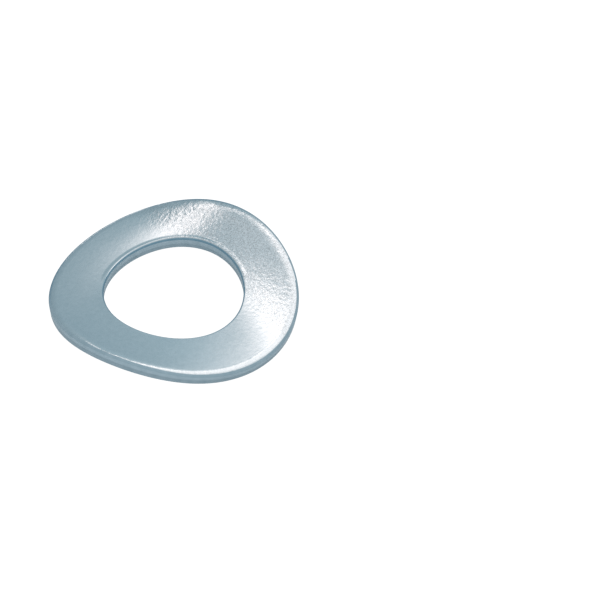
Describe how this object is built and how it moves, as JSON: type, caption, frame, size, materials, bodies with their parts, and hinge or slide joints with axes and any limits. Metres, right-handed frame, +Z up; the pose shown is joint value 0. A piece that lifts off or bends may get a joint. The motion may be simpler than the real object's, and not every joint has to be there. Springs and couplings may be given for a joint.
{
  "type": "wave spring washer",
  "caption": "Wave spring washer stamped from sheet steel: a flat ring pressed into a shallow saddle, with two raised and two lower ends, a soft rolled outer edge and a round bolt hole.",
  "frame": {"origin": "on the hole's axis, at the height of the lowest points of the two lower ends, which the washer rests on", "axes": "+Z up along the hole's axis; X through the two raised ends; Y through the two lower ends"},
  "size_m": [0.0152, 0.015, 0.0023],
  "materials": {
    "zinc_plated_steel": "bright zinc plating over fine-grained spring steel, satin, cool bluish grey"
  },
  "bodies": {
    "root": {"washer": "zinc_plated_steel"}
  },
  "joints": []
}
